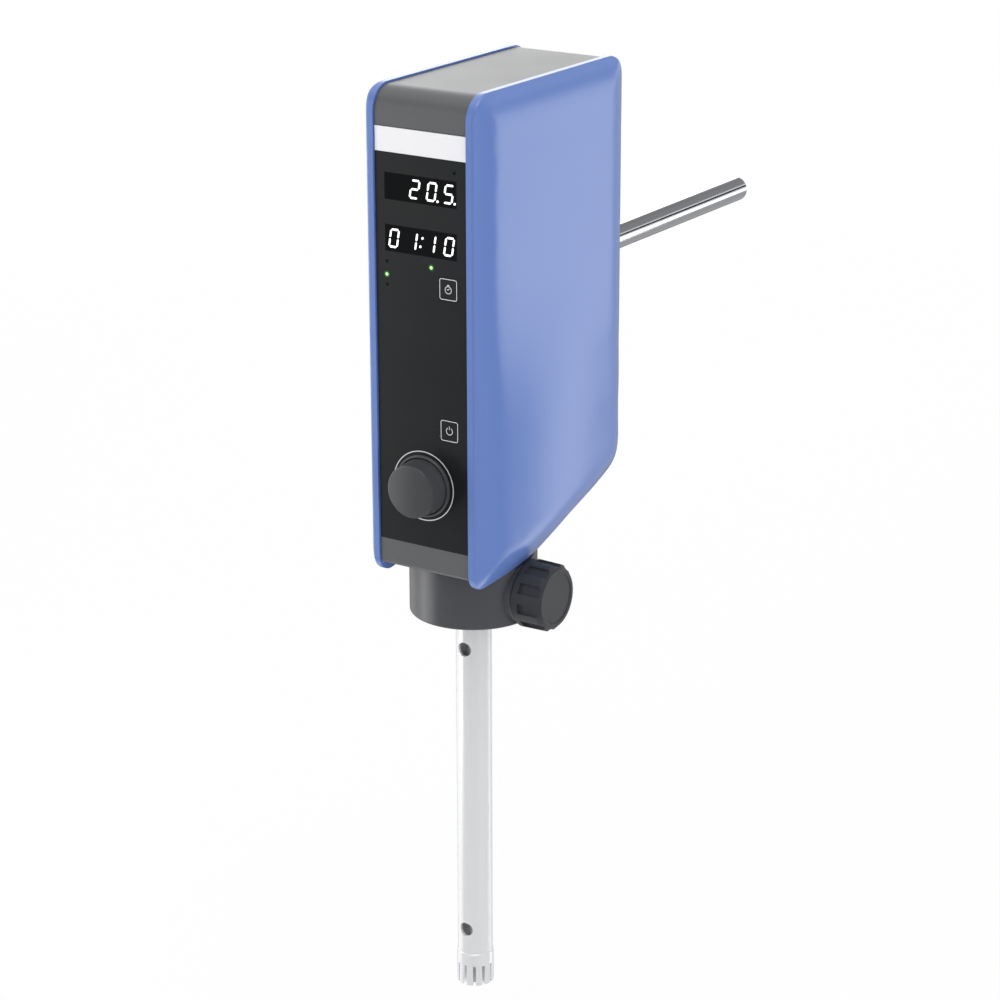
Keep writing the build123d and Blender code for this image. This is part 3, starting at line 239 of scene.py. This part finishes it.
litSegment = glowing("litSegments", (255, 255, 255), 0.9)
litLamp = glowing("litGreenLamp", (172, 236, 148), 0.7)
# painted glow: green light emitted by the foil around the lit lamps
lampGlow = glowing("greenGlowOnFoil", (30, 74, 22), 0.8)
whitePrint = makeMaterial("whitePrint", (226, 227, 229), (0.4, 0.5), height=0.0)
blackPrint = makeMaterial("blackPrint", (7, 7, 8), (0.5, 0.6), height=0.0, specular=0.15)
print("materials made:", len(materials))


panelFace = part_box("front_panel")[0][1]
drive = "drive"


def pieceFrom(mesh, name, material, body):
    data = bpy.data.meshes.new(name)
    mesh.to_mesh(data)
    mesh.free()
    data.materials.append(material)
    piece = bpy.data.objects.new(name, data)
    scene.collection.objects.link(piece)
    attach(piece, body)


def raiseFlat(mesh, thickness):
    # a flat drawing gets its thickness towards +Z and its faces look outwards
    walls = bmesh.ops.extrude_face_region(mesh, geom=mesh.faces[:], use_keep_orig=True)
    raised = [item for item in walls["geom"] if isinstance(item, bmesh.types.BMVert)]
    bmesh.ops.translate(mesh, verts=raised, vec=(0, 0, thickness))
    bmesh.ops.recalc_face_normals(mesh, faces=mesh.faces)


def standUp(mesh, x, z, faceY):
    # drawn flat around the origin, stood up to face -Y at a place on the panel
    bmesh.ops.rotate(mesh, verts=mesh.verts, cent=(0, 0, 0),
                     matrix=Matrix.Rotation(pi / 2, 3, "X"))
    bmesh.ops.translate(mesh, verts=mesh.verts, vec=(x, faceY, z))


def addBar(mesh, start, end, width):
    # a bar with pointed ends
    start, end = Vector((*start, 0)), Vector((*end, 0))
    along = (end - start).normalized() * width / 2
    side = Vector((-along.y, along.x, 0))
    outline = (start, start + along - side, end - along - side, end, end - along + side,
               start + along + side)
    mesh.faces.new([mesh.verts.new(point) for point in outline])


def addRing(mesh, centre, radius, width, gap=0.0, steps=72):
    # a flat ring, or an arc left open by gap radians at its top
    turn = pi / 2 + gap / 2
    toRim = Vector((cos(turn), sin(turn), 0))
    ends = [mesh.verts.new(Vector((*centre, 0)) + toRim * (radius + side * width / 2))
            for side in (-1, 1)]
    edge = mesh.edges.new(ends)
    bmesh.ops.spin(mesh, geom=ends + [edge], cent=(*centre, 0), axis=(0, 0, 1),
                   angle=2 * pi - gap, steps=steps, use_merge=not gap)


def addDisc(mesh, centre, radius):
    disc = bmesh.ops.create_circle(mesh, cap_ends=True, radius=radius, segments=24)
    bmesh.ops.translate(mesh, verts=disc["verts"], vec=(*centre, 0))


def addRoundedFrame(mesh, width, height, corner, line):
    # outline of a key or window: a rounded plate with its middle taken out
    plate = bmesh.ops.create_grid(mesh, x_segments=1, y_segments=1, size=0.5)
    bmesh.ops.scale(mesh, verts=plate["verts"], vec=(width, height, 1))
    bmesh.ops.bevel(mesh, geom=plate["verts"], offset=corner, affect="VERTICES", segments=6,
                    profile=0.5, material=-1)
    middle = mesh.faces[:]
    bmesh.ops.inset_region(mesh, faces=middle, thickness=line, use_boundary=True,
                           use_even_offset=True)
    bmesh.ops.delete(mesh, geom=middle, context="FACES")


digits = {
    "height": 9.4 * mm, "width": 5.5 * mm, "stroke": 1.0 * mm, "gap": 0.2 * mm, "slant": 0.16,
    "dot": 0.62 * mm, "proud": 0.03 * mm, "lastCell": 16.0 * mm, "pointSide": 1.7,
    "colonRise": 2.1 * mm, "colonLean": 0.3 * mm,
}
displays = {
    # node of the window, text, distance from one cell to the next
    "speedDigits": ("speed_window", " 20.5.", 9.55 * mm),
    "timerDigits": ("timer_window", "01:10", 10.4 * mm),
}
segmentsOf = {"0": "abcdef", "1": "bc", "2": "abged", "5": "afgcd", " ": ""}


def makeDigits(name, node, text, pitch):
    mesh = bmesh.new()
    stroke = digits["stroke"]
    w, h = (digits["width"] - stroke) / 2, (digits["height"] - stroke) / 2
    lines = {"a": ((-w, h), (w, h)), "b": ((w, h), (w, 0)), "c": ((w, 0), (w, -h)),
             "d": ((-w, -h), (w, -h)), "e": ((-w, 0), (-w, -h)), "f": ((-w, h), (-w, 0)),
             "g": ((-w, 0), (w, 0))}
    cells = sum(mark in segmentsOf for mark in text)
    cell = digits["lastCell"] - (cells - 1) * pitch
    for mark in text:
        if mark == ".":
            addDisc(mesh, (cell - pitch + w + digits["pointSide"] * stroke, -h), digits["dot"])
        elif mark == ":":
            for side in (-1, 1):
                addDisc(mesh, (cell - pitch / 2 + side * digits["colonLean"],
                               side * digits["colonRise"]), digits["dot"])
        else:
            for segment in segmentsOf[mark]:
                start, end = (Vector(point) + Vector((cell, 0)) for point in lines[segment])
                gap = (end - start).normalized() * digits["gap"]
                addBar(mesh, start + gap, end - gap, stroke)
            cell += pitch
    for vert in mesh.verts:
        vert.co.x += vert.co.y * digits["slant"]
    raiseFlat(mesh, digits["proud"])
    standUp(mesh, centreOf(node).x, centreOf(node).z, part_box(node)[0][1])
    pieceFrom(mesh, name, litSegment, drive)


for name, settings in displays.items():
    makeDigits(name, *settings)
print("displays lit")


printing = {
    "thickness": 0.02 * mm, "knobRing": 17.3 * mm, "knobLine": 0.5 * mm, "keyLine": 0.34 * mm,
    "keyInset": 0.25 * mm, "keyCorner": 1.1 * mm, "iconRadius": 1.75 * mm, "openTop": 1.1,
    "windowLine": 0.35 * mm, "windowCorner": 0.4 * mm, "knobSteps": 96,
}
# bars of the key symbols: start and end in icon radii, width in lines
powerBars = [((0, 0.45), (0, 1.45), 1)]
clockBars = [
    ((-0.43, 1.2), (0.43, 1.2), 1.3),      # crown
    ((-0.14, -0.11), (0.43, 0.34), 1),     # hands
    ((-0.43, 0.14), (-0.06, -0.17), 1),
]
clockDrop = 0.1


def sizeOf(node):
    low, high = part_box(node)
    return high[0] - low[0], high[2] - low[2]


def makeKeyPrint(name, node, icon):
    width, height = sizeOf(node)
    mesh = bmesh.new()
    addRoundedFrame(mesh, width - printing["keyInset"], height - printing["keyInset"],
                    printing["keyCorner"], printing["keyLine"])
    r, line = printing["iconRadius"], printing["keyLine"]
    if icon == "power":
        addRing(mesh, (0, 0), r, line, gap=printing["openTop"])
    else:
        addRing(mesh, (0, -clockDrop * r), r, line)
    for start, end, width in powerBars if icon == "power" else clockBars:
        addBar(mesh, [r * x for x in start], [r * x for x in end], width * line)
    raiseFlat(mesh, printing["thickness"])
    standUp(mesh, centreOf(node).x, centreOf(node).z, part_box(node)[0][1])
    pieceFrom(mesh, name, whitePrint, node)


def makeKnobRing():
    middle = centreOf("knob_bezel")
    mesh = bmesh.new()
    addRing(mesh, (0, 0), printing["knobRing"], printing["knobLine"],
            steps=printing["knobSteps"])
    raiseFlat(mesh, printing["thickness"])
    standUp(mesh, middle.x, middle.z, panelFace)
    pieceFrom(mesh, "knobRing", whitePrint, drive)


def makeWindowFrame(name, node):
    width, height = sizeOf(node)
    line = printing["windowLine"]
    mesh = bmesh.new()
    addRoundedFrame(mesh, width + line, height + line, printing["windowCorner"], line)
    raiseFlat(mesh, printing["thickness"])
    standUp(mesh, centreOf(node).x, centreOf(node).z, panelFace)
    pieceFrom(mesh, name, blackPrint, drive)


makeKeyPrint("timerKeyPrint", "timer_key", "clock")
makeKeyPrint("powerKeyPrint", "power_key", "power")
makeKnobRing()
makeWindowFrame("speedFrame", "speed_window")
makeWindowFrame("timerFrame", "timer_window")
print("panel printed")


lamps = {
    "radius": 0.85 * mm, "dome": 0.18 * mm, "glowRadius": 1.6 * mm, "baseZ": -130.7 * mm,
    "lit": [(-19.6 * mm, 147.1 * mm), (5.8 * mm, 153.6 * mm)],
    "dark": [(-19.6 * mm, 153.5 * mm), (-19.6 * mm, 142.0 * mm), (19.0 * mm, 200.2 * mm)],
}


def makeLamps(name, places, material):
    mesh = bmesh.new()
    for x, rise in places:
        cap = bmesh.ops.create_uvsphere(mesh, u_segments=20, v_segments=10, radius=lamps["radius"])
        bmesh.ops.scale(mesh, verts=cap["verts"], vec=(1, 1, lamps["dome"] / lamps["radius"]))
        bmesh.ops.translate(mesh, verts=cap["verts"], vec=(x, rise, 0))
    standUp(mesh, 0, lamps["baseZ"], panelFace)
    for face in mesh.faces:
        face.smooth = True
    pieceFrom(mesh, name, material, drive)


def makeLampGlow():
    # painted glow: an emitting disc on the foil around each lit lamp stands in for the lamp's
    # light on the panel
    mesh = bmesh.new()
    for place in lamps["lit"]:
        addDisc(mesh, place, lamps["glowRadius"])
    raiseFlat(mesh, printing["thickness"])
    standUp(mesh, 0, lamps["baseZ"], panelFace)
    pieceFrom(mesh, "lampGlow", lampGlow, drive)


makeLamps("litLamps", lamps["lit"], litLamp)
makeLamps("darkLamps", lamps["dark"], blackPrint)
makeLampGlow()
print("lamps placed")


studio = {
    "floorZ": -0.43, "floorSize": 30.0, "floorColour": (0.93, 0.93, 0.93, 1), "floorWhite": 0.9,
    "fadeStart": 0.6, "fadeEnd": 2.2, "worldStrength": 0.52, "middle": (0, -0.16, 0),
    "cardDistance": 3.0, "floorRough": 0.9, "floorSpecular": 0.1,
}


def raySeesWhite(tree):
    # 1 for camera, mirror and glass rays, which see the plain white studio
    path = tree.nodes.new("ShaderNodeLightPath")
    return mathNode(tree, "MAXIMUM", path.outputs["Is Camera Ray"],
                    mathNode(tree, "MAXIMUM", path.outputs["Is Glossy Ray"],
                             path.outputs["Is Transmission Ray"]))


def makeFloor():
    mesh = bmesh.new()
    bmesh.ops.create_grid(mesh, x_segments=1, y_segments=1, size=studio["floorSize"] / 2)
    data = bpy.data.meshes.new("floor")
    mesh.to_mesh(data)
    mesh.free()
    floor = bpy.data.objects.new("floor", data)
    floor.location.z = studio["floorZ"]
    floor.visible_glossy = False  # mirrors see the white room and the cards instead
    scene.collection.objects.link(floor)
    material = bpy.data.materials.new("paleFloor")
    material.use_nodes = True
    tree = material.node_tree
    shader = tree.nodes["Principled BSDF"]
    shader.inputs["Base Color"].default_value = studio["floorColour"]
    shader.inputs["Roughness"].default_value = studio["floorRough"]
    shader.inputs["Specular IOR Level"].default_value = studio["floorSpecular"]
    # away from the object the floor fades into the white room, so no horizon shows
    distance = tree.nodes.new("ShaderNodeVectorMath")
    distance.operation = "LENGTH"
    tree.links.new(tree.nodes.new("ShaderNodeTexCoord").outputs["Object"], distance.inputs[0])
    fade = tree.nodes.new("ShaderNodeMapRange")
    fade.interpolation_type = "SMOOTHSTEP"
    tree.links.new(distance.outputs["Value"], fade.inputs["Value"])
    for label, key in (("From Min", "fadeStart"), ("From Max", "fadeEnd"),
                       ("To Min", "floorWhite")):
        fade.inputs[label].default_value = studio[key]
    fade.inputs["To Max"].default_value = 1.0
    white = tree.nodes.new("ShaderNodeEmission")
    mix = tree.nodes.new("ShaderNodeMixShader")
    tree.links.new(mathNode(tree, "MULTIPLY", raySeesWhite(tree), fade.outputs["Result"]),
                   mix.inputs["Fac"])
    tree.links.new(shader.outputs[0], mix.inputs[1])
    tree.links.new(white.outputs[0], mix.inputs[2])
    tree.links.new(mix.outputs[0], tree.nodes["Material Output"].inputs["Surface"])
    data.materials.append(material)


def makeWorld():
    world = bpy.data.worlds.new("studio")
    scene.world = world
    world.use_nodes = True
    tree = world.node_tree
    lit = tree.nodes["Background"]
    lit.inputs["Color"].default_value = (1, 1, 1, 1)
    lit.inputs["Strength"].default_value = studio["worldStrength"]
    white = tree.nodes.new("ShaderNodeBackground")
    white.inputs["Color"].default_value = (1, 1, 1, 1)
    mix = tree.nodes.new("ShaderNodeMixShader")
    tree.links.new(raySeesWhite(tree), mix.inputs["Fac"])
    tree.links.new(lit.outputs[0], mix.inputs[1])
    tree.links.new(white.outputs[0], mix.inputs[2])
    tree.links.new(mix.outputs[0], tree.nodes["World Output"].inputs["Surface"])


# what reflections see besides the white room: azimuth from +X, elevation, width and height
# in degrees, and brightness
cards = {
    "rightCard": (-12.5, 0, 128, 110, 0.03),
    "frontCard": (-112, 0, 80, 110, 0.03),
    "sweepCard": (57, -30, 13, 60, 2.5),
    "rearCard": (83, -34, 46, 60, 0.5),
    "farRearCard": (126, -30, 44, 60, 0.2),
    "crestCard": (96, 38, 34, 20, 0.3),
    "topCard": (131, 15, 38, 38, 2.35),
    "rearUpperCard": (75, 27, 72, 18, 0.34),
    "horizonStrip": (72, 9.5, 72, 7, 0.0),
}
# place, aim, width, height, watts, whether mirrors see it
softBoxes = {
    "keyBox": ((-0.95, -0.78, -0.1), (0, -0.2, -0.1), 0.62, 1.3, 7.5, True),
    "rearTopBox": ((-0.75, 1.25, 0.95), (0, -0.15, 0.0), 2.1, 1.5, 14.0, False),
    "overheadBox": ((0.3, -0.5, 1.5), (0, -0.15, 0.0), 1.0, 1.0, 7.0, True),
    "rightFill": ((1.6, -0.5, 0.1), (0, -0.15, -0.05), 1.2, 1.2, 9.0, False),
}


def turnTowards(place, aim, axis):
    return (Vector(aim) - Vector(place)).to_track_quat(axis, "Y").to_euler()


def makeCard(name, azimuth, elevation, width, height, brightness):
    distance = studio["cardDistance"]
    away = Vector((cos(radians(azimuth)) * cos(radians(elevation)),
                   sin(radians(azimuth)) * cos(radians(elevation)), sin(radians(elevation))))
    place = Vector(studio["middle"]) + away * distance
    mesh = bmesh.new()
    bmesh.ops.create_grid(mesh, x_segments=1, y_segments=1, size=distance)
    bmesh.ops.scale(mesh, verts=mesh.verts,
                    vec=(tan(radians(width / 2)), tan(radians(height / 2)), 1))
    data = bpy.data.meshes.new(name)
    mesh.to_mesh(data)
    mesh.free()
    card = bpy.data.objects.new(name, data)
    card.location = place
    card.rotation_euler = turnTowards(place, studio["middle"], "Z")
    material = bpy.data.materials.new(name + "Cloth")
    material.use_nodes = True
    tree = material.node_tree
    cloth = tree.nodes.new("ShaderNodeEmission")
    cloth.inputs["Strength"].default_value = brightness
    tree.links.new(cloth.outputs[0], tree.nodes["Material Output"].inputs["Surface"])
    data.materials.append(material)
    for ray in ("camera", "diffuse", "transmission", "volume_scatter", "shadow"):
        setattr(card, "visible_" + ray, False)
    scene.collection.objects.link(card)


def makeLight(name, place, aim, width, height, watts, mirrored):
    data = bpy.data.lights.new(name, "AREA")
    data.shape = "RECTANGLE"
    data.size = width
    data.size_y = height
    data.energy = watts
    light = bpy.data.objects.new(name, data)
    light.location = place
    light.rotation_euler = turnTowards(place, aim, "-Z")
    light.visible_glossy = mirrored
    scene.collection.objects.link(light)


camera = {
    "place": (0.7493, -1.3029, 0.3633), "azimuth": 33.09, "elevation": 19.13, "roll": -0.13,
    "lens": 104.08, "sensor": 36.0, "farthest": 60.0,
}


def makeCamera():
    data = bpy.data.cameras.new("camera")
    data.lens = camera["lens"]
    data.sensor_width = camera["sensor"]
    data.clip_end = camera["farthest"]
    view = bpy.data.objects.new("camera", data)
    turn = (Matrix.Rotation(radians(camera["azimuth"]), 4, "Z")
            @ Matrix.Rotation(radians(90 - camera["elevation"]), 4, "X")
            @ Matrix.Rotation(radians(camera["roll"]), 4, "Z"))
    view.matrix_world = Matrix.Translation(camera["place"]) @ turn
    scene.collection.objects.link(view)
    scene.camera = view


makeFloor()
makeWorld()
for name, settings in cards.items():
    makeCard(name, *settings)
for name, settings in softBoxes.items():
    makeLight(name, *settings)
makeCamera()
scene.view_settings.view_transform = "Standard"
print("studio ready")
